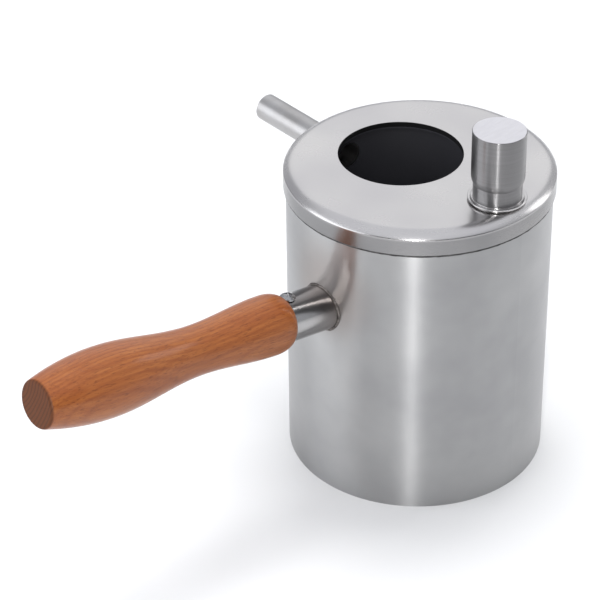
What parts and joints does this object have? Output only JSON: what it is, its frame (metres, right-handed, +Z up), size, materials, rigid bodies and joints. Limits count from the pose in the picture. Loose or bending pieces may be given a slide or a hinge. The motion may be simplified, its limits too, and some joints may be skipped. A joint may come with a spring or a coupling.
{
  "type": "water-jacketed wax pouring pot",
  "caption": "Round steel wax pot with a water jacket, an off-centre mouth over an inner cup, a straight side spout, a capped water filler and a turned wooden handle.",
  "frame": {"origin": "centre of the base plate's underside, on the can's axis", "axes": "+Z up along the can's axis, water filler on +X, handle 3.5 degrees off -Y, spout 5 degrees off -X"},
  "size_m": [0.1824, 0.3002, 0.1968],
  "materials": {
    "can_steel": "satin, brushed round the can",
    "lid_steel": "satin, bright",
    "tube_steel": "satin, turned",
    "cup_steel": "dull, dark",
    "weld": "rough, heat tinted",
    "black_rubber": "matt",
    "beech": "varnished",
    "screw_steel": "bright zinc plate"
  },
  "bodies": {
    "pot": {"can_wall": "can_steel", "can_seam": "weld", "base_plate": "can_steel", "base_weld": "weld", "lid": "lid_steel", "lid_solder": "weld", "mouth_seal": "black_rubber", "cup_top_ring": "cup_steel", "cup_wall": "cup_steel", "cup_bottom": "cup_steel", "cup_bottom_weld": "weld", "cup_feet": "cup_steel", "spout_tube": "tube_steel", "spout_cup_weld": "weld", "spout_can_weld": "weld", "filler_neck": "tube_steel", "filler_collar": "tube_steel", "filler_weld": "weld", "handle_socket": "tube_steel", "socket_weld": "weld", "handle_grip": "beech", "grip_screw": "screw_steel"},
    "cap": {"cap_sleeve": "tube_steel", "cap_top": "tube_steel", "cap_seal": "black_rubber"}
  },
  "joints": [
    {"name": "cap_lift", "type": "slide", "parent": "pot", "child": "cap", "axis": [0, 0, 1], "range_m": [0, 0.045]}
  ]
}
